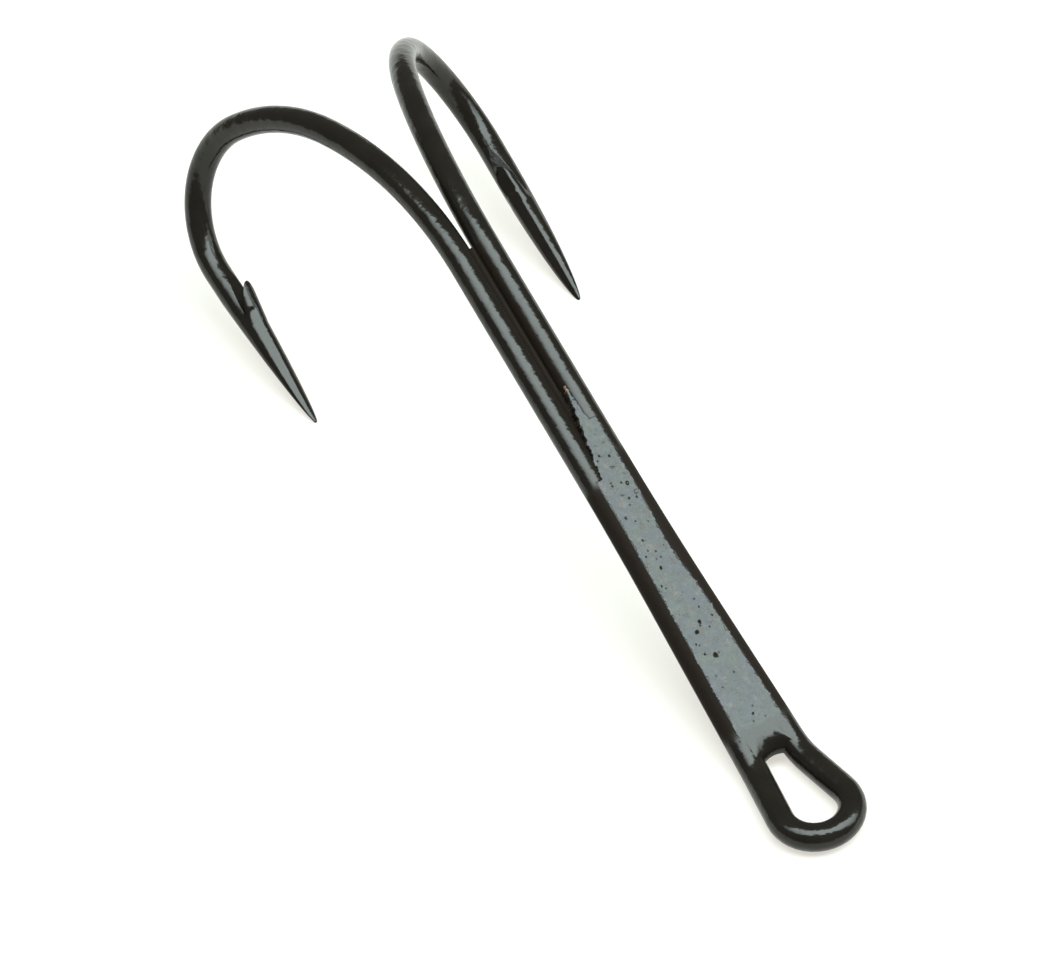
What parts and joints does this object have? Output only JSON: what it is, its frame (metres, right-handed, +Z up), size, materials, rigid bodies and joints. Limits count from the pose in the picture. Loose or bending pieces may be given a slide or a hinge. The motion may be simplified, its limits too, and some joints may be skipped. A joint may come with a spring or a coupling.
{
  "type": "double fishing hook",
  "caption": "Black lacquered double hook for salmon flies: barbed points on spread bends, a shared brazed shank and an upturned looped eye.",
  "frame": {"origin": "middle of the footprint, on the surface that the hook rests on", "axes": "+X from the eye towards the bends, +Y towards the first hook, +Z up, with the hook lying at rest on the fold of its eye and its two sharp ends"},
  "size_m": [0.0406, 0.0138, 0.0108],
  "materials": {
    "lacquered_steel": "gloss black japan lacquer over hardened carbon steel wire",
    "lacquered_braze": "brass braze under thin black lacquer, pitted, the metal showing in specks"
  },
  "bodies": {
    "root": {"hook_wire": "lacquered_steel", "front_braze": "lacquered_braze", "back_braze": "lacquered_braze"}
  },
  "joints": []
}
